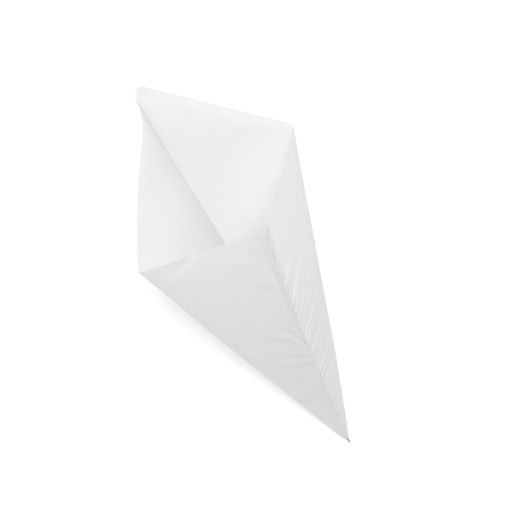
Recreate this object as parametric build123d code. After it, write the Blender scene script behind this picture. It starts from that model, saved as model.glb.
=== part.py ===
from build123d import *
from functools import cache
from math import atan, ceil, cos, degrees, pi, radians, sin, tan
import os

# A pointed paper bag, made from one square sheet. The sheet is folded near its diagonal, so that one of its
# corners becomes the tip, and glued along one leg. The other leg is the mouth. Here it is pushed open into a
# cone of four panels and lies on the back right one. +Z is up, and +Y runs from the tip to the mouth along
# the fold. The origin is on the table, under the middle of the bag's box.

# Sheet
sheet_side = 190.0        # each leg of the flat bag
paper_thickness = 0.09
fold_offset = 7.81        # the fold ends this far from the sheet's far corner
flap_angle = 3.0          # hidden glue flap under the seam, 10 mm wide at the mouth
corner_cut = 2.8          # clipped corner beside the fold, along the back right panel's edge
corner_cut_side = 1.3     # and along the short edge towards the fold

# How far the bag stands open
right_opening = 62.87     # degrees from the table up to the front right panel
left_bend_at = 74.01      # along the mouth, from the seam to the left bend
right_bend_at = 93.0      # along the mouth, from the seam to the right bend
bend_radius = 1.0         # both soft bends at the mouth, running out to nothing at the tip
bend_turn = 115.0         # about how far the sheet turns in a soft bend

# Each panel sinks in beside its pressed crease: how deep, one sheet side from the tip, and how close to it
left_hollow = 2.02
left_hollow_order = 2.3
grey_hollow = 5.16
grey_hollow_order = 4.1
right_hollow = 2.0
right_hollow_order = 4.2

# Strip of the outer layer from its glued edge to the ridge, which widens towards the mouth
strip_width = 4.35
strip_width_below = 0.25
strip_length = 44.0       # over which it widens
strip_flare = 1.4         # 1 widens evenly, and more keeps it narrow for longer

# Puckers that the glue pulls into the sheet beside the seam, as waves along lines that fan out from the tip
pucker_lines = [(0.9, 0.2), (2.0, 0.35), (3.3, 0.25), (5.0, 0), (13.0, 0)]   # angle from the seam, height
pucker_pitch = 10.0
pucker_slant = 0.2        # turns of the wave from one line to the next
ripple_lines = 5
ripple_angle = 2.2        # from one line of ripples to the next, starting at the flap's edge
ripple_height = 0.28
ripple_pitch = 7.6
ripple_slant = 0.1
wave_drift = 1.4          # how uneven the puckers are, and how slowly that changes
wave_drift_rate = 0.29
calm_length = 14.0        # without puckers, at the tip and at the mouth

# Pressed tip
shut_length = 8.0         # the layers are pressed together over this length
spike_length = 4.5
spike_width = 1.3
spike_height = 0.6
spike_end = 0.6           # size of its end, as a share of its start

wave_step = 1.9           # spacing of the points along a wavy line
hollow_points = 9         # points across the hollow back left panel
bend_facets = 6           # flat facets round a soft bend


def between(start, end, share):
    """The direction at a share of the way from one direction to another."""
    whole = radians(start.get_angle(end))
    return (start * sin(whole * (1 - share)) + end * sin(whole * share)) * (1 / sin(whole))


def meeting(first, first_angle, second, second_angle):
    """The direction at given angles from two others."""
    shared = first.dot(second)
    first_cos = cos(radians(first_angle))
    second_cos = cos(radians(second_angle))
    first_part = (first_cos - shared * second_cos) / (1 - shared**2)
    second_part = (second_cos - shared * first_cos) / (1 - shared**2)
    flat_part = first * first_part + second * second_part
    return flat_part + first.cross(second).normalized() * (1 - flat_part.length**2) ** 0.5


def beside(direction, other):
    """The way that leads from one direction towards another, square to the first."""
    return (other - direction * direction.dot(other)).normalized()


# Directions of the fold, the seam and the two soft corners, as seen from the tip
fold_angle = degrees(atan((sheet_side - fold_offset) / sheet_side))
left_angle = degrees(atan(left_bend_at / sheet_side))
right_angle = degrees(atan(right_bend_at / sheet_side))
bend_width = degrees(bend_radius / sheet_side)
bend_reach = bend_width * tan(radians(bend_turn / 2))
bend_gain = bend_reach - bend_width * radians(bend_turn / 2)
base_angle = 90 - right_angle - fold_angle + bend_gain
fold = Vector(0, 1, 0)
right_corner = Vector(sin(radians(base_angle)), cos(radians(base_angle)), 0)
upward = Vector(0, 0, sin(radians(right_opening)))
right_rise = beside(right_corner, fold) * cos(radians(right_opening)) + upward
right_width = radians(right_angle + bend_gain)
seam = right_corner * cos(right_width) + right_rise * sin(right_width)
left_corner = meeting(seam, left_angle + bend_gain, fold, fold_angle - left_angle + bend_gain)
strip_way = (beside(seam, right_corner) - beside(seam, left_corner)).normalized()


def ridge(distance):
    """Direction of the ridge, at the far side of the strip from the seam."""
    share = max(0, 1 - (sheet_side - distance) / strip_length)
    width = strip_width_below + (strip_width - strip_width_below) * share**strip_flare
    return (seam * distance + strip_way * width).normalized()


def hollow(soft, crease, depth, order, share):
    """A direction across a panel, from a soft corner to a pressed crease, beside which the panel sinks in."""
    inward = soft.cross(crease).normalized()
    if inward.dot(fold + seam + left_corner + right_corner) < 0:
        inward = -inward
    deepest = order / (order + 1)
    sink = depth / sheet_side * (share / deepest) ** order * (1 - share) / (1 - deepest)
    return (between(soft, crease, share) + inward * sink).normalized()


def wave(distance, height, pitch, shift):
    """Height of uneven puckers along a line, with none near the tip and the mouth."""
    calm = min(1, (distance - shut_length) / calm_length, (sheet_side - distance) / calm_length)
    turns = distance / pitch + shift
    uneven = sin(2 * pi * turns + wave_drift * sin(2 * pi * turns * wave_drift_rate))
    return height * distance / sheet_side * max(0, calm) * uneven


class Ray:
    """A line of the sheet from the tip to the mouth, either a border of a patch or inside one."""

    def __init__(self, direction, border=True, height=0.0, pitch=1.0, shift=0.0):
        self.direction = direction if callable(direction) else lambda distance: direction
        self.border = border
        self.straight = height == 0 and not callable(direction)
        self.wave = lambda distance: wave(distance, height, pitch, shift) if height else 0.0
        self.sheet_angle = 0.0


def bend_rays(before, corner, after):
    """Rays between the facets of a soft bend, an arc that touches the panels on both sides of its corner."""
    weight = cos(radians(bend_turn / 2))
    rays = []
    for step in range(bend_facets + 1):
        share = step / bend_facets
        pull = corner * (2 * weight * share * (1 - share))
        direction = before * (1 - share) ** 2 + pull + after * share**2
        rays.append(Ray(direction.normalized()))
    return rays


def left_panel_rays():
    """Rays of the front left panel, beside the seam, where the waves run out."""
    width = seam.get_angle(left_corner)
    rays = []
    for number, (angle, height) in enumerate(pucker_lines):
        direction = hollow(left_corner, seam, left_hollow, left_hollow_order, 1 - angle / width)
        rays.append(Ray(direction, height=height, pitch=pucker_pitch, shift=number * pucker_slant))
    return rays


def grey_panel_rays(start):
    """Rays of the back left panel, between its soft bend and the fold."""
    rays = []
    for step in range(1, hollow_points):
        share = start + (1 - start) * step / hollow_points
        direction = hollow(left_corner, fold, grey_hollow, grey_hollow_order, share)
        rays.append(Ray(direction, border=step == hollow_points - 1))
    return rays


def right_panel_rays():
    """Rays of the front right panel, up to the ridge, which leans outwards where the strip widens."""
    width = seam.get_angle(right_corner)
    rays = []
    for number in reversed(range(ripple_lines)):
        share = 1 - (flap_angle + number * ripple_angle) / width

        def direction(distance, share=share):
            return hollow(right_corner, ridge(distance), right_hollow, right_hollow_order, share)

        height = ripple_height * (1 - number / ripple_lines)
        rays.append(Ray(direction, height=height, pitch=ripple_pitch, shift=-number * ripple_slant))
    return rays


# All rays in their order round the bag
left_reach = bend_reach / seam.get_angle(left_corner)
grey_reach = bend_reach / fold.get_angle(left_corner)
base_reach = bend_reach / fold.get_angle(right_corner)
right_reach = bend_reach / seam.get_angle(right_corner)
left_start = between(left_corner, seam, left_reach)
left_end = between(left_corner, fold, grey_reach)
right_start = between(right_corner, fold, base_reach)
right_end = between(right_corner, seam, right_reach)
left_rays = [Ray(seam), *left_panel_rays(), *bend_rays(left_start, left_corner, left_end)]
left_rays += grey_panel_rays(grey_reach)
right_rays = [Ray(fold), *bend_rays(right_start, right_corner, right_end), *right_panel_rays(), Ray(ridge)]
rays = left_rays + right_rays
fold_number = len(left_rays)


def set_sheet_angles():
    """Gives every ray its angle on the flat sheet, from the seam, so that the two halves of the sheet fit."""
    angles = [0.0]
    for number in range(len(rays)):
        here = rays[number].direction(sheet_side)
        after = rays[(number + 1) % len(rays)].direction(sheet_side)
        angles.append(angles[-1] + here.get_angle(after))
    left_whole = angles[fold_number]
    right_whole = angles[-1] - left_whole
    for number, ray in enumerate(rays):
        if number <= fold_number:
            ray.sheet_angle = angles[number] / left_whole * fold_angle
        else:
            ray.sheet_angle = fold_angle + (angles[number] - left_whole) / right_whole * (90 - fold_angle)


def mouth_distance(sheet_angle):
    """Distance from the tip to the straight edge of the sheet, at an angle on it."""
    return sheet_side / cos(radians(min(sheet_angle, 90 - sheet_angle)))


def point(number, distance, layer):
    """A point on a ray. Layer 0 is the sheet's outer face, and each layer further in is one less."""
    before = rays[number - 1].direction(distance)
    here = rays[number].direction(distance)
    after = rays[(number + 1) % len(rays)].direction(distance)
    first = before.cross(here).normalized()
    second = here.cross(after).normalized()
    mitre = (first + second) * (1 / (1 + first.dot(second)))
    return here * distance + mitre * (layer * paper_thickness + rays[number].wave(distance))


@cache
def ray_edge(number, layer):
    """A ray of the sheet as an edge, from the pressed tip to the mouth."""
    end = mouth_distance(rays[number].sheet_angle)
    if rays[number].straight:
        return Edge.make_line(point(number, shut_length, layer), point(number, end, layer))
    steps = ceil((end - shut_length) / wave_step)
    distances = [shut_length + (end - shut_length) * step / steps for step in range(steps + 1)]
    return Edge.make_spline([point(number, distance, layer) for distance in distances])


def corner_points(layer):
    """The clipped corner of the sheet, on the back right panel."""
    points = []
    for along, across in [(sheet_side, sheet_side - corner_cut_side), (sheet_side - corner_cut, sheet_side)]:
        turn = radians(degrees(atan(across / along)) - fold_angle)
        reach = (along**2 + across**2) ** 0.5
        points.append(Vector(reach * sin(turn), reach * cos(turn), -layer * paper_thickness))
    return points


@cache
def mouth_edges(start, end, layers):
    """Edges of a patch at the mouth: straight, along a hollow, or with the clipped corner."""
    numbers = range(start, end + 1) if end > start else [start, end]
    points = []
    for step, number in enumerate(numbers):
        layer = layers[0] + (layers[1] - layers[0]) * step / (len(numbers) - 1)
        points.append(point(number, mouth_distance(rays[number].sheet_angle), layer))
    if len(points) > 2:
        return [Edge.make_spline(points)]
    if start == fold_number:
        points[1:1] = corner_points(layers[0])
    return [Edge.make_line(first, second) for first, second in zip(points, points[1:])]


def patch(start, end, layers):
    """One face of the sheet between two border rays."""
    sides = [ray_edge(start, layers[0]), ray_edge(end, layers[1])]
    mouth = mouth_edges(start, end, layers)
    tip = Edge.make_line(point(start, shut_length, layers[0]), point(end, shut_length, layers[1]))
    if mouth[0].geom_type != GeomType.LINE:
        return Face.make_surface_from_curves(mouth[0], tip)
    if rays[start].straight and rays[end].straight:
        return Face(Wire([*sides, *mouth, tip]))
    return Face.make_surface_from_curves(*sides)


def ring_faces(first, second):
    """Faces between two rings of points."""
    faces = []
    for number in range(len(first)):
        after = (number + 1) % len(first)
        start = Edge.make_line(first[number], first[after])
        end = Edge.make_line(second[number], second[after])
        faces.append(Face.make_surface_from_curves(start, end))
    return faces


def cap_faces(ring):
    """Triangles that close a ring of points."""
    centre = sum(ring, Vector()) * (1 / len(ring))
    faces = []
    for first, second in zip(ring, ring[1:] + ring[:1]):
        faces.append(Face(Wire.make_polygon([first, second, centre])))
    return faces


def spike_ring(ring, distance, scale):
    """A ring of the pressed tip, squeezed to the size of the spike and lying on the table."""
    left = min(place.X for place in ring)
    right = max(place.X for place in ring)
    bottom = min(place.Z for place in ring)
    top = max(place.Z for place in ring)
    points = []
    for place in ring:
        across = ((place.X - left) / (right - left) - 0.5) * spike_width * scale
        up = (place.Z - bottom) / (top - bottom) * spike_height * scale
        points.append(Vector(across + (left + right) / 2 * distance / shut_length, distance, up))
    return points


def bag():
    """The folded and glued sheet. Its path starts at the flap's edge and ends on top of the flap."""
    borders = [number for number in range(len(rays)) if rays[number].border]
    ripple_start = len(rays) - 1 - ripple_lines
    flap_number = len(rays) - 2
    ridge_number = len(rays) - 1
    path = [(flap_number, 0), (ridge_number, 0)]
    for number in borders:
        rise = (number - ripple_start + 1) / ripple_lines
        path.append((number, max(0, min(1, rise))))
    path.append((0, 1))
    faces = []
    for step in range(len(path) - 1):
        (start, start_layer), (end, end_layer) = path[step : step + 2]
        outer = (start_layer, end_layer)
        inner = (start_layer - 1, end_layer - 1)
        if step >= 2:
            faces.append(patch(start, end, outer))
        if step < len(path) - 3:
            faces.append(patch(start, end, inner))
        for outer_edge, inner_edge in zip(mouth_edges(start, end, outer), mouth_edges(start, end, inner)):
            faces.append(Face.make_surface_from_curves(outer_edge, inner_edge))
    faces.append(Face.make_surface_from_curves(ray_edge(flap_number, 0), ray_edge(flap_number, -1)))
    faces.append(Face.make_surface_from_curves(ray_edge(0, 1), ray_edge(0, 0)))
    outside = [point(number, shut_length, layer) for number, layer in path[2:]]
    inside = [point(number, shut_length, layer - 1) for number, layer in path[:-2]]
    spike_start = spike_ring(outside, spike_length, 1)
    spike_tip = spike_ring(outside, 0, spike_end)
    faces += ring_faces(outside, spike_start) + ring_faces(spike_start, spike_tip)
    faces += cap_faces(spike_tip) + cap_faces(inside)
    return Solid(Shell(faces))


set_sheet_angles()
paper_cone_bag = bag()
box = paper_cone_bag.bounding_box()
paper_cone_bag = paper_cone_bag.moved(Location((-box.center().X, -box.center().Y, -box.min.Z)))

os.makedirs("parts", exist_ok=True)
export_step(paper_cone_bag, "parts/paper_cone_bag.step")
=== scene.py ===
import bpy
import numpy as np
from mathutils import Matrix, Vector


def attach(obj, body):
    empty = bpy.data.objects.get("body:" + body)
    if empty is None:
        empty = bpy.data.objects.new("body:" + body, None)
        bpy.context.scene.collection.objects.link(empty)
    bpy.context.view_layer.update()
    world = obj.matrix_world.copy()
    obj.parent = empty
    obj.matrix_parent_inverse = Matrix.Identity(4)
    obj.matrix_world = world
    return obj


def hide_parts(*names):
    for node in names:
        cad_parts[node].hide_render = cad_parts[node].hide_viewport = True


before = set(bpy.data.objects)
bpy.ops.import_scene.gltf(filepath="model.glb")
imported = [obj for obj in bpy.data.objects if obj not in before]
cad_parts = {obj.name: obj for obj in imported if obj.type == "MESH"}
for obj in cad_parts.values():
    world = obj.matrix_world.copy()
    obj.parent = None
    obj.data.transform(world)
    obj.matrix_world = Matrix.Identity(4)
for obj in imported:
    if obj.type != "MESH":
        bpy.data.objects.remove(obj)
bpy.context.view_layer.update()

# The bag. One square of thin white bleached paper, folded near its diagonal and glued along one leg over a
# narrow hidden flap, so that a corner becomes the tip, which is pressed and twisted shut. Pushed open, it is
# a cone of four panels and lies on the back right one.

# Its sizes are in millimetres, with all distances from the tip and the fold along +Y. The fold ends a little
# short of the sheet's corner, and the opening is the angle between the two right panels.
millimetre = 0.001
sheet_side = 190.0
paper_thickness = 0.09
flap_angle = np.radians(3.0)
fold_offset = 7.81
corner_cut = 2.8
corner_cut_side = 1.3
right_opening = np.radians(62.87)
left_bend_at = 74.01
right_bend_at = 93.0
bend_radius = 1.0
bend_turn = np.radians(115.0)


def unit(vector):
    """The same direction with a length of one."""
    return vector / np.linalg.norm(vector, axis=-1, keepdims=True)


def turn_between(first, second):
    """The angle between two directions."""
    return np.arccos(np.clip((first * second).sum(-1), -1, 1))


def beside(direction, other):
    """The way that leads from one direction towards another, square to the first."""
    return unit(other - direction * (direction @ other))


def meeting(first, first_angle, second, second_angle):
    """The direction at given angles from two others."""
    shared = first @ second
    first_part = (np.cos(first_angle) - shared * np.cos(second_angle)) / (1 - shared**2)
    second_part = (np.cos(second_angle) - shared * np.cos(first_angle)) / (1 - shared**2)
    flat_part = first * first_part + second * second_part
    return flat_part + unit(np.cross(first, second)) * (1 - flat_part @ flat_part) ** 0.5


# Directions of the fold, the seam and the two soft corners, as seen from the tip
fold_angle = np.arctan((sheet_side - fold_offset) / sheet_side)
left_angle = np.arctan(left_bend_at / sheet_side)
right_angle = np.arctan(right_bend_at / sheet_side)
bend_width = bend_radius / sheet_side
bend_reach = bend_width * np.tan(bend_turn / 2)
bend_gain = bend_reach - bend_width * bend_turn / 2
base_angle = np.pi / 2 - right_angle - fold_angle + bend_gain
fold = np.array([0.0, 1.0, 0.0])
upward = np.array([0.0, 0.0, 1.0])
right_corner = np.array([np.sin(base_angle), np.cos(base_angle), 0.0])
right_rise = beside(right_corner, fold) * np.cos(right_opening) + upward * np.sin(right_opening)
seam_turn = right_angle + bend_gain
seam = right_corner * np.cos(seam_turn) + right_rise * np.sin(seam_turn)
left_corner = meeting(seam, left_angle + bend_gain, fold, fold_angle - left_angle + bend_gain)
strip_way = unit(beside(seam, right_corner) - beside(seam, left_corner))
inside_way = fold + seam + left_corner + right_corner

# The strip between the glued edge and the ridge is almost nothing near the tip and widens beside the mouth
strip_width = 4.35
strip_width_below = 0.25
strip_length = 44.0
strip_flare = 1.4


def strip_at(distance):
    """Width of the strip at a distance from the tip."""
    share = np.maximum(0, 1 - (sheet_side - distance) / strip_length)
    return strip_width_below + (strip_width - strip_width_below) * share**strip_flare


def ridge(distance):
    """Direction of the pressed ridge beside the glued edge."""
    return unit(seam * distance[:, None] + strip_way * strip_at(distance)[:, None])


def across(soft, crease, depth, order, share):
    """Directions across a panel that is straight at its soft bend and sinks in beside its pressed crease."""
    whole = turn_between(soft, crease)[..., None]
    flat = (soft * np.sin(whole * (1 - share)) + crease * np.sin(whole * share)) / np.sin(whole)
    inward = unit(np.cross(soft, crease))
    inward = inward * np.sign((inward * inside_way).sum(-1, keepdims=True))
    deepest = order / (order + 1)
    sink = depth / sheet_side * (share / deepest) ** order * (1 - share) / (1 - deepest)
    return unit(flat + inward * sink)


def straight(start, end, share):
    """A direction part of the way across a flat panel."""
    return across(start, end, 0.0, 1.0, np.array([[share]]))[0]


def round_bend(before, corner, after, share):
    """Directions round a soft bend that touches the panels on both sides of its corner."""
    pull = corner * (2 * np.cos(bend_turn / 2) * share * (1 - share))
    return unit(before * (1 - share) ** 2 + pull + after * share**2)


def places(start, end, fine, growth):
    """Places from start to end, close together at the start and wider apart further on."""
    steps = [0.0]
    while steps[-1] < 1:
        steps.append(steps[-1] + fine * (1 + growth * steps[-1]))
    return start + (end - start) * np.array(steps) / steps[-1]


# The mesh runs from the tip to the mouth in rows, and round the bag in columns: the glue flap, the strip, the
# two left panels, the two right panels, and once more the strip, now on top of the flap.
left_width = turn_between(left_corner, seam)
back_left_width = turn_between(left_corner, fold)
right_width = turn_between(right_corner, seam)
base_width = turn_between(right_corner, fold)
cut_start_slope = (sheet_side - corner_cut_side) / sheet_side
cut_end_slope = sheet_side / (sheet_side - corner_cut)
cut_angles = np.arctan([cut_start_slope, cut_end_slope])
cut_places = 1 - (cut_angles - fold_angle) / base_width
beyond_cut = 0.86
base_places = np.concatenate([[1.0], cut_places, np.linspace(beyond_cut, bend_reach / base_width, 14)])
lap_places = np.linspace(1 - flap_angle / right_width, 1, 11)
beyond_lap = places(lap_places[0], bend_reach / right_width, fine=0.013, growth=2.6)[::-1]
strip_places = np.linspace(0, 1, 7)
bend_places = np.linspace(0, 1, 9)
path = [
    ("flap", lap_places),
    ("under strip", strip_places),
    ("left", places(1, bend_reach / left_width, fine=0.014, growth=2.0)),
    ("left bend", bend_places),
    ("back left", places(1, bend_reach / back_left_width, fine=0.02, growth=2.0)[::-1]),
    ("base", base_places),
    ("right bend", bend_places),
    ("right", np.concatenate([beyond_lap, lap_places[1:]])),
    ("strip", strip_places),
]
columns = [("flap", lap_places[0])]
for kind, shares in path:
    columns += [(kind, place) for place in shares[1:]]
kinds = np.array([kind for kind, place in columns])
seam_column = np.flatnonzero(kinds == "under strip")[-1]
fold_column = np.flatnonzero(kinds == "back left")[-1]
outer_half = np.arange(len(columns)) > fold_column
left_bend_ends = (
    straight(left_corner, seam, bend_reach / left_width),
    left_corner,
    straight(left_corner, fold, bend_reach / back_left_width),
)
right_bend_ends = (
    straight(right_corner, fold, bend_reach / base_width),
    right_corner,
    straight(right_corner, seam, bend_reach / right_width),
)

# Three panels sink in beside their creases. A higher order keeps the hollow closer to the crease, and the
# growth gives its share of the full depth at distances from the tip.
left_hollow, left_hollow_order = 2.02, 2.3
left_hollow_growth = ([110, 150, 190], [0.1, 0.35, 1])
back_left_hollow, back_left_hollow_order = 5.16, 4.1
back_left_hollow_growth = ([120, 215, 250], [0.08, 0.25, 1])
right_hollow, right_hollow_order = 2.0, 4.2
right_hollow_growth = ([110, 150, 190], [0.15, 0.35, 1])


def column_directions(kind, place, distance):
    """Directions of one column at all its distances from the tip."""
    share = np.full((len(distance), 1), place)
    if kind in ("flap", "right"):
        corner = np.tile(right_corner, (len(distance), 1))
        hollow = right_hollow * np.interp(distance, *right_hollow_growth)[:, None]
        return across(corner, ridge(distance), hollow, right_hollow_order, share)
    if kind in ("under strip", "strip"):
        return unit(ridge(distance) * (1 - share) + seam * share)
    if kind == "left":
        hollow = left_hollow * np.interp(distance, *left_hollow_growth)[:, None]
        return across(left_corner, seam, hollow, left_hollow_order, share)
    if kind == "back left":
        hollow = back_left_hollow * np.interp(distance, *back_left_hollow_growth)[:, None]
        return across(left_corner, fold, hollow, back_left_hollow_order, share)
    if kind == "base":
        return across(right_corner, fold, 0.0, 1.0, share)
    return round_bend(*(left_bend_ends if kind == "left bend" else right_bend_ends), share)


# Each column's angle on the flat sheet, from the glued edge, gives the distance at which the straight cut of
# the mouth, or the clipped corner, crosses it. The flap is beyond the edge, so its angles are negative.
at_mouth = np.array([sheet_side])
mouth_line = np.array([column_directions(kind, place, at_mouth)[0] for kind, place in columns])
turns = np.concatenate([[0], np.cumsum(turn_between(mouth_line[:-1], mouth_line[1:]))])
turns = turns - turns[seam_column]
beyond_fold = turns - turns[fold_column]
left_scale = fold_angle / turns[fold_column]
right_scale = (np.pi / 2 - fold_angle) / (turns[-1] - turns[fold_column])
sheet_angles = np.where(outer_half, fold_angle + beyond_fold * right_scale, turns * left_scale)
sheet_angles[:seam_column] = turns[:seam_column]
reach = sheet_side / np.cos(np.minimum(np.abs(sheet_angles), np.pi / 2 - sheet_angles))
cut_start = np.array([sheet_side, sheet_side - corner_cut_side])
cut_way = np.array([-corner_cut, corner_cut_side])
cut_line = cut_start[0] * cut_way[1] - cut_start[1] * cut_way[0]
cut_reach = cut_line / (np.cos(sheet_angles) * cut_way[1] - np.sin(sheet_angles) * cut_way[0])
diagonal_degrees = 45
clipped_degrees = 0.6
near_corner = outer_half & (np.abs(np.degrees(sheet_angles) - diagonal_degrees) < clipped_degrees)
reach = np.where(near_corner, np.minimum(reach, cut_reach), reach)

# Rows. The first ones shape the shut tip, and the others share out the length from there to the mouth.
row_count = 250
shut_length = 4.2
tip_rows = np.array([0.0, 0.2, 0.5, 0.9, 1.3, 1.7, 2.1, 2.4, 2.7, 3.0, 3.3, 3.6, 3.9])
distances = np.empty((row_count, len(columns)))
distances[: len(tip_rows)] = tip_rows[:, None]
body_shares = np.linspace(0, 1, row_count - len(tip_rows))[:, None]
distances[len(tip_rows) :] = shut_length + (reach - shut_length) * body_shares
directions = np.empty((row_count, len(columns), 3))
for number, (kind, place) in enumerate(columns):
    directions[:, number] = column_directions(kind, place, np.maximum(distances[:, number], shut_length))

# Outward way at every point, from its neighbours round the bag
around = np.roll(directions, -1, axis=1) - np.roll(directions, 1, axis=1)
around[:, 0] = directions[:, 1] - directions[:, 0]
around[:, -1] = directions[:, -1] - directions[:, -2]
outward = unit(np.cross(directions, around))
outward = outward * np.sign(-(outward * inside_way).sum(-1, keepdims=True))

# Places on the sheet: how far along the glued edge from the tip, and how far aside from it
from_edge = np.where(outer_half, np.pi / 2 - sheet_angles, np.abs(sheet_angles)) * np.ones((row_count, 1))
along = distances * np.cos(from_edge)
aside = distances * np.sin(from_edge)
on_left = kinds == "left"
on_right = (kinds == "right") | (kinds == "flap")


def ramp(value, start, end):
    """Rises smoothly from 0 at start to 1 at end."""
    share = np.clip((value - start) / (end - start), 0, 1)
    return share * share * (3 - 2 * share)


def furrow(line, depth, width, fade=1.0, widen=0.6):
    """A soft furrow along a line of places on the sheet, which grows shallower and wider towards its end."""
    line = np.array(line, float)
    pressed = np.zeros_like(along)
    for number, (start, way) in enumerate(zip(line[:-1], np.diff(line, axis=0))):
        share = np.clip(((along - start[0]) * way[0] + (aside - start[1]) * way[1]) / (way @ way), 0, 1)
        gap = np.hypot(along - start[0] - share * way[0], aside - start[1] - share * way[1])
        gone = (number + share) / (len(line) - 1)
        here = np.exp(-((gap / (width * (1 + widen * gone))) ** 2))
        pressed = np.maximum(pressed, depth * (1 - fade * gone) * here)
    return pressed


def curve_from(start, heading, length, bend):
    """Places along a curve that leaves the glued edge at a heading and bends as it goes."""
    steps = 6
    headings = np.radians(heading + bend * np.linspace(0, 1, steps))
    hops = np.stack([np.cos(headings), np.sin(headings)], axis=1) * length / steps
    return np.concatenate([[[start, 0.0]], [start, 0.0] + np.cumsum(hops, axis=0)])


# Puckers. The glue shrinks as it dries and gathers both panels along the seam. On the right, long furrows fan
# out from it and grow deeper towards the mouth, with short ones among them in the half beside the mouth.
# Headings are in degrees from the glued edge, and each list of places has its values after it.
chance = np.random.default_rng(7)
puckers = np.zeros_like(along)
beyond_ridge = ramp(aside - strip_at(along), 0.0, 1.2) * on_right
long_headings = ([30, 68, 105, 135, 160, 180], [112, 103, 90, 78, 60, 50])
long_lengths = ([14, 60, 105, 150, 186], [7, 24, 36, 30, 14])
long_depths = ([14, 50, 110, 150], [0.3, 0.7, 1.3, 2.1])
for start in np.arange(14.0, 186.0, 5.2):
    start = start + chance.uniform(-1.6, 1.6)
    heading = np.interp(start, *long_headings) + chance.uniform(-5, 5)
    length = np.interp(start, *long_lengths) * chance.uniform(0.3, 1.1)
    bend = chance.uniform(-14, 4)
    depth = np.interp(start, *long_depths) * chance.uniform(0.4, 1.2)
    width = chance.uniform(1.2, 2.0)
    line = curve_from(start, heading, length, bend)
    puckers += furrow(line, depth, width, fade=0.85, widen=0.3) * beyond_ridge
short_headings = ([96, 140, 186], [88, 66, 46])
for start in np.arange(96.0, 186.0, 4.6):
    start = start + chance.uniform(-1.4, 1.4)
    heading = np.interp(start, *short_headings) + chance.uniform(-8, 8)
    length = chance.uniform(9, 17)
    bend = chance.uniform(-12, 8)
    depth = chance.uniform(0.4, 1.0)
    width = chance.uniform(0.9, 1.4)
    line = curve_from(start, heading, length, bend)
    puckers += furrow(line, depth, width) * beyond_ridge

# On the left the furrows are short and shallow, with one deeper curved crease half way and one soft hollow
# beside the edge at the mouth
beyond_edge = ramp(aside, 0.0, 2.4) * on_left
left_headings = ([43, 67, 100, 136, 160], [78, 76, 62, 50, 46])
left_lengths = ([16, 60, 150, 182], [4, 11, 12, 9])
for start in np.arange(16.0, 182.0, 6.0):
    start = start + chance.uniform(-2.0, 2.0)
    heading = np.interp(start, *left_headings) + chance.uniform(-8, 8)
    length = np.interp(start, *left_lengths) * chance.uniform(0.5, 1.3)
    bend = chance.uniform(-10, 10)
    depth = chance.uniform(0.1, 0.26)
    width = chance.uniform(0.9, 1.6)
    line = curve_from(start, heading, length, bend)
    puckers += furrow(line, depth, width) * beyond_edge
curved_crease = [(93.9, 0.4), (98.0, 2.2), (104.0, 5.2), (110.0, 8.5), (114.5, 12.5)]
puckers += furrow(curved_crease, depth=0.5, width=0.8, fade=0.75) * on_left
beside_mouth = [(189.0, 3.0), (176.0, 2.6), (163.0, 2.2)]
puckers += furrow(beside_mouth, depth=0.35, width=1.8, fade=0.8, widen=0.0) * beyond_edge

# Waves. Broad soft ones fan out across the front left panel, with finer and shallower ones among them, some
# raised and some sunk, and the panel's rim has one dent.
waves = np.zeros_like(along)
broad_headings = ([43, 67, 100, 136, 160], [84, 78, 64, 50, 42])
for start in np.arange(34.0, 215.0, 8.5):
    start = start + chance.uniform(-3.0, 3.0)
    heading = np.interp(start, *broad_headings) + chance.uniform(-6, 6)
    length = start * chance.uniform(0.2, 0.4)
    bend = chance.uniform(-12, 12)
    depth = chance.uniform(0.16, 0.46)
    width = chance.uniform(2.2, 3.8)
    side = chance.choice([-1, 1])
    line = curve_from(start, heading, length, bend)
    waves += furrow(line, depth, width, fade=0.8) * side
waves *= ramp(aside, 1, 13)
fine_headings = ([43, 67, 100, 136, 160], [84, 76, 62, 50, 42])
for start in np.arange(50.0, 205.0, 5.0):
    start = start + chance.uniform(-2.5, 2.5)
    heading = np.interp(start, *fine_headings) + chance.uniform(-10, 10)
    length = chance.uniform(14, 42)
    bend = chance.uniform(-14, 14)
    off_edge = chance.uniform(0, 14)
    depth = chance.uniform(0.05, 0.15)
    width = chance.uniform(1.1, 2.0)
    side = chance.choice([-1, 1])
    line = curve_from(start, heading, length, bend) + [0.0, off_edge]
    waves += furrow(line, depth, width, fade=0.7) * side
waves *= on_left * ramp(aside, 0, 4)
dent_line = [(190.5, 40.0), (187.0, 44.0), (184.0, 50.0), (182.5, 57.0)]
rim_dent = furrow(dent_line, depth=1.1, width=2.4, fade=0.7) * on_left

# The glued lap. The outer layer climbs over the flap, and its cut edge stands up a little where the glue
# missed it, least in the middle and most near the mouth, in small waves.
climb_end = np.radians(12.0)
lap_layers = 1.3
climb = np.clip((climb_end - from_edge) / (climb_end - flap_angle), 0, 1) * outer_half
loose_width = 1.2
loose_height = 0.18
loose_dip = 0.09
loose_rise = 0.16
loose_ripple = 0.05
ripple_spacing = 3.7
loose = loose_height - loose_dip * ramp(along, 100, 130) + loose_rise * ramp(along, 150, 176)
loose = loose + loose_ripple * np.sin(along / ripple_spacing + 1.0)
edge_lift = loose * np.clip(1 - aside / loose_width, 0, 1) * ((kinds == "strip") & outer_half)

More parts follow.
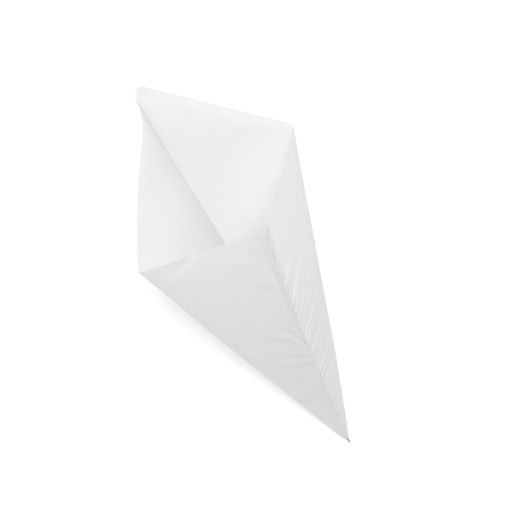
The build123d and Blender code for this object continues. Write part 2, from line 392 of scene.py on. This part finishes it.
# The panel on the table stands off it a little between its fold and its bend, and rolls down to it at the rim
stand_off_height = 0.8
rolled_length = 9
right_bend_angle = np.pi / 2 - right_angle
base_share = np.clip((right_bend_angle - sheet_angles) / (right_bend_angle - fold_angle), 0, 1)
arch = np.clip(6 * base_share * (1 - base_share), 0, 1)
stand_off = stand_off_height * arch * ramp(distances, 20, 80) * (kinds == "base")
stand_off *= 1 - ramp(distances, reach - rolled_length, reach)
height = climb * paper_thickness * lap_layers + edge_lift + waves - puckers - rim_dent - stand_off
points = directions * distances[..., None] + outward * height[..., None]

# The two soft bends aren't pressed. The left one bows out between the tip and the mouth, and the right one
# bows out nearer the tip and comes in at the mouth.
gone = distances / reach
bow_spread = 0.12
bow_places = [0, 0.1, 0.3, 0.5, 0.7, 0.9, 1]
left_bows = [0, 0.45, 0.65, 0.9, 0.65, 0.0, 0.0]
right_bows = [0, 0.55, 1.05, 0.45, 0.0, -0.6, -0.5]
off_left_bend = (sheet_angles - left_angle) / bow_spread
off_right_bend = (np.pi / 2 - sheet_angles - right_angle) / bow_spread
left_bow = np.interp(gone, bow_places, left_bows) * np.exp(-(off_left_bend**2))
right_bow = np.interp(gone, bow_places, right_bows) * np.exp(-(off_right_bend**2))
points -= beside(left_corner, inside_way) * (left_bow * ~outer_half)[..., None]
points -= beside(right_corner, fold) * (right_bow * outer_half)[..., None]

# The tip is pressed shut and twisted into a small spike, which lies on the table
spike_length = 2.7
spike_width = 1.3
spike_height = 0.7
spike_turn = np.radians(200.0)
spike_lap = 0.08
taper_places = [0, 0.2, 0.5, spike_length]
taper_shares = [0, 0.5, 0.7, 1]
ring = directions[0]
ring_middle = (ring[:, 0].min() + ring[:, 0].max()) / 2
for row, distance in enumerate(tip_rows):
    nearness = min(1, (shut_length - distance) / (shut_length - spike_length))
    held = max(distance, spike_length) * (1 + spike_lap * climb[row])
    taper = np.interp(distance, taper_places, taper_shares)
    wide = 1 + (spike_width * taper / (np.ptp(ring[:, 0]) * spike_length) - 1) * nearness
    low = 1 + (spike_height * taper / (ring[:, 2].max() * spike_length) - 1) * nearness
    sideways = (ring[:, 0] - ring_middle) * held * wide
    raised = (ring[:, 2] - ring[:, 2].max() / 2) * held * low
    twist = spike_turn * max(0, 1 - distance / spike_length)
    points[row, :, 0] = ring_middle * distance + sideways * np.cos(twist) - raised * np.sin(twist)
    points[row, :, 1] = distance
    points[row, :, 2] = sideways * np.sin(twist) + raised * np.cos(twist)
    points[row, :, 2] -= points[row, :, 2].min()

# The rows become one mesh that starts from a single point at the tip, with the base panel on the table and
# the middle of the bag's box over the origin. The sheet then gets the paper's thickness.
rim = mouth_line * reach[:, None]
tip_place = np.array([-(rim[:, 0].min() + rim[:, 0].max()) / 2, -rim[:, 1].max() / 2, 0.0])
row_length = len(columns)
vertices = np.concatenate([points[0, :1], points[1:].reshape(-1, 3)]) + tip_place
faces = [(0, number + 1, number + 2) for number in range(row_length - 1)]
for row in range(row_count - 2):
    for number in range(row * row_length + 1, (row + 1) * row_length):
        faces.append((number, number + row_length, number + row_length + 1, number + 1))
sheet = bpy.data.meshes.new("paper_bag")
sheet.from_pydata((vertices * millimetre).tolist(), [], faces)
bag = bpy.data.objects.new("paper_bag", sheet)
bpy.context.scene.collection.objects.link(bag)
sheet.update()
bpy.ops.object.select_all(action="DESELECT")
bag.select_set(True)
bpy.context.view_layer.objects.active = bag
solid = bag.modifiers.new("thickness", "SOLIDIFY")
solid.thickness = paper_thickness * millimetre
solid.offset = -1
bpy.ops.object.modifier_apply(modifier="thickness")
bpy.ops.object.shade_smooth_by_angle(angle=np.radians(35))

# White bleached paper: matt, letting some light through, with a faint cloudy formation and fine fibres, and
# painted shade that darkens the colour of the twisted tip
tip_shade_start = 1.4
tip_shade_end = 4.0
paper = bpy.data.materials.new("white_paper")
paper.use_nodes = True
nodes, links = paper.node_tree.nodes, paper.node_tree.links
surface = nodes["Principled BSDF"]
surface.inputs["Roughness"].default_value = 0.72
surface.inputs["Specular IOR Level"].default_value = 0.25
place = nodes.new("ShaderNodeTexCoord")
clouds = nodes.new("ShaderNodeTexNoise")
clouds.inputs["Scale"].default_value = 150.0
clouds.inputs["Detail"].default_value = 3.0
fibres = nodes.new("ShaderNodeTexNoise")
fibres.inputs["Scale"].default_value = 1400.0
fibres.inputs["Detail"].default_value = 2.0
fibres.inputs["Distortion"].default_value = 0.6
tone = nodes.new("ShaderNodeMapRange")
tone.inputs["From Min"].default_value = 0.3
tone.inputs["From Max"].default_value = 0.7
tone.inputs["To Min"].default_value = 0.914
tone.inputs["To Max"].default_value = 0.926
axes = nodes.new("ShaderNodeSeparateXYZ")
# Painted shade on the twisted tip: the colour is darkened to 0.3 at the point and rises back to the paper's
# own white a few millimetres along
painted_tip_shade = nodes.new("ShaderNodeMapRange")
painted_tip_shade.inputs["From Min"].default_value = (tip_place[1] + tip_shade_start) * millimetre
painted_tip_shade.inputs["From Max"].default_value = (tip_place[1] + tip_shade_end) * millimetre
painted_tip_shade.inputs["To Min"].default_value = 0.3
painted_tip_shade.inputs["To Max"].default_value = 1.0
shade = nodes.new("ShaderNodeMath")
shade.operation = "MULTIPLY"
grain = nodes.new("ShaderNodeBump")
grain.inputs["Strength"].default_value = 0.25
grain.inputs["Distance"].default_value = 0.00006
through = nodes.new("ShaderNodeBsdfTranslucent")
both = nodes.new("ShaderNodeMixShader")
both.inputs["Fac"].default_value = 0.35
links.new(place.outputs["Object"], clouds.inputs["Vector"])
links.new(place.outputs["Object"], fibres.inputs["Vector"])
links.new(place.outputs["Object"], axes.inputs["Vector"])
links.new(axes.outputs["Y"], painted_tip_shade.inputs["Value"])
links.new(clouds.outputs["Fac"], tone.inputs["Value"])
links.new(tone.outputs["Result"], shade.inputs[0])
links.new(painted_tip_shade.outputs["Result"], shade.inputs[1])
links.new(shade.outputs["Value"], surface.inputs["Base Color"])
links.new(shade.outputs["Value"], through.inputs["Color"])
links.new(fibres.outputs["Fac"], grain.inputs["Height"])
links.new(grain.outputs["Normal"], surface.inputs["Normal"])
links.new(surface.outputs["BSDF"], both.inputs[1])
links.new(through.outputs["BSDF"], both.inputs[2])
links.new(both.outputs["Shader"], nodes["Material Output"].inputs["Surface"])
sheet.materials.append(paper)
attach(bag, "root")
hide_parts("paper_cone_bag")

# The table. A plain white top that the bag only lies on, so it belongs to the stage and not to the bag. It is
# set a hair below the paper, so that the two never share a face.
table_drop = 0.2
bpy.ops.mesh.primitive_plane_add(size=3.0, location=(0, 0, -table_drop * millimetre))
table = bpy.context.object
table.name = "table"
white = bpy.data.materials.new("white_table")
white.use_nodes = True
white.node_tree.nodes["Principled BSDF"].inputs["Base Color"].default_value = (0.98, 0.98, 0.98, 1)
table.data.materials.append(white)

# The studio. A white surrounding and five large soft lamps, which stand for diffusers round the table. They
# are named as the camera sees them: one just above it and one beside that at the left, one low at the far
# left, and two low at the right.
lamp_softness = np.radians(35)
world = bpy.data.worlds.new("studio")
bpy.context.scene.world = world
world.use_nodes = True
world.node_tree.nodes["Background"].inputs["Color"].default_value = (1, 1, 1, 1)
world.node_tree.nodes["Background"].inputs["Strength"].default_value = 0.358
lamps = {
    "lamp_above": ((0.174, 0.520, 0.836), 1.19),
    "lamp_overhead_left": ((-0.084, 0.527, 0.845), 1.31),
    "lamp_at_left": ((-0.399, 0.884, 0.245), 0.95),
    "lamp_upper_right": ((0.976, 0.055, 0.211), 0.41),
    "lamp_lower_right": ((0.480, -0.722, 0.498), 0.46),
}
for name, (way, strength) in lamps.items():
    lamp = bpy.data.objects.new(name, bpy.data.lights.new(name, "SUN"))
    lamp.data.energy = strength
    lamp.data.angle = lamp_softness
    lamp.rotation_euler = Vector(way).to_track_quat("Z", "Y").to_euler()
    lamp.location = Vector(way)
    bpy.context.scene.collection.objects.link(lamp)

# The camera. It looks down into the mouth through a long lens, rolled as in the photograph. Its place is
# measured from the bag's tip: to the left, above and back, as the camera sees them.
camera_left = 59.21
camera_above = 117.97
camera_back = 1275.9
view_right = Vector((0.85687, -0.49852, 0.13136))
view_up = Vector((0.51377, 0.80466, -0.29762))
view_back = Vector((0.04266, 0.32251, 0.94560))
camera_place = Vector(tip_place) - view_right * camera_left + view_up * camera_above + view_back * camera_back
camera_data = bpy.data.cameras.new("camera")
camera_data.lens = 141.87
camera = bpy.data.objects.new("camera", camera_data)
view_axes = Matrix((view_right, view_up, view_back)).transposed()
camera.matrix_world = Matrix.Translation(camera_place * millimetre) @ view_axes.to_4x4()
bpy.context.scene.collection.objects.link(camera)
bpy.context.scene.camera = camera
bpy.context.scene.view_settings.view_transform = "Standard"
